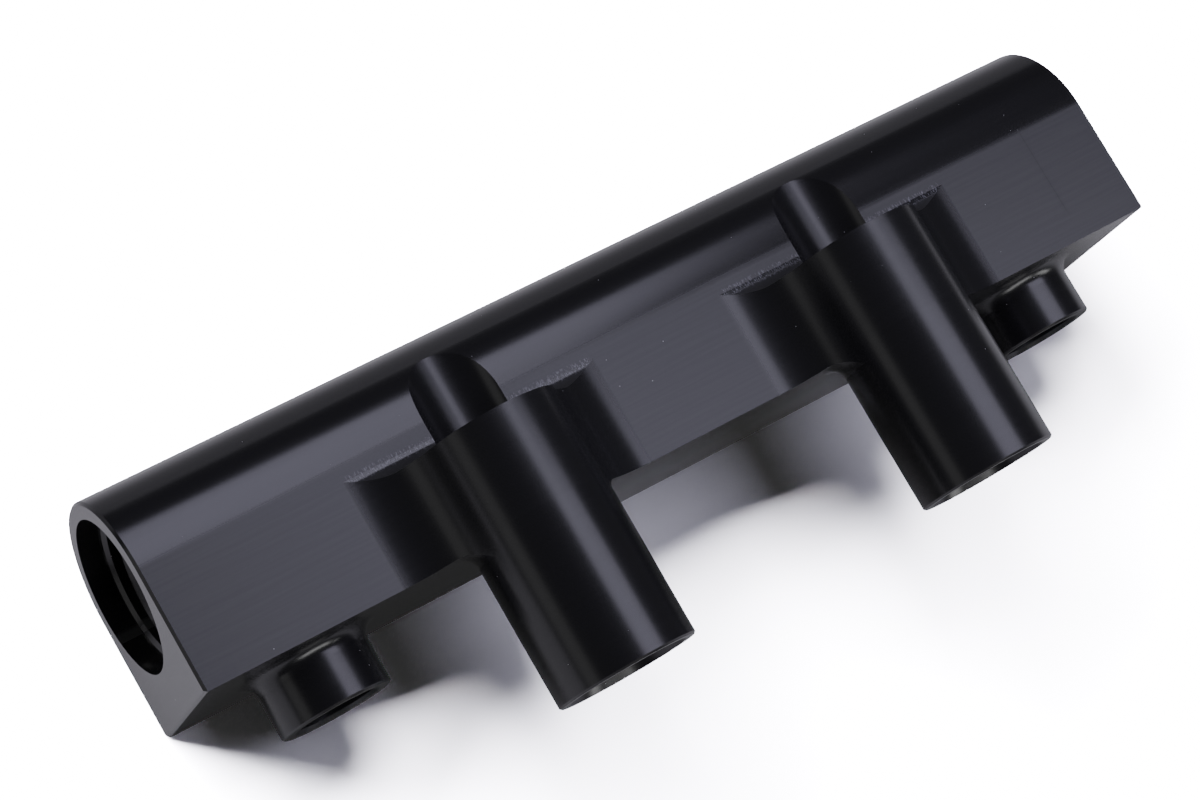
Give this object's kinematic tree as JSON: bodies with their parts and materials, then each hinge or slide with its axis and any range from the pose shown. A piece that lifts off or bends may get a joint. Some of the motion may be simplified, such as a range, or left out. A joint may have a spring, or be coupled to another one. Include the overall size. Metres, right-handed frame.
{
  "type": "fuel rail",
  "caption": "Short one-piece fuel rail of D-shaped bar with a through fuel bore, side injector cups on blended webs and round mounting bosses.",
  "frame": {"origin": "on the fuel bore's axis at the face of the inlet end", "axes": "+X along the fuel bore from the inlet to the outlet, -Y the way the injector cups and bosses point, +Z square to the front flat, away from the back flat that it lies on"},
  "size_m": [0.1474, 0.0513, 0.0384],
  "materials": {
    "anodised_aluminium": "black anodised over a fine machined surface, satin"
  },
  "bodies": {
    "root": {"rail_body": "anodised_aluminium"}
  },
  "joints": []
}
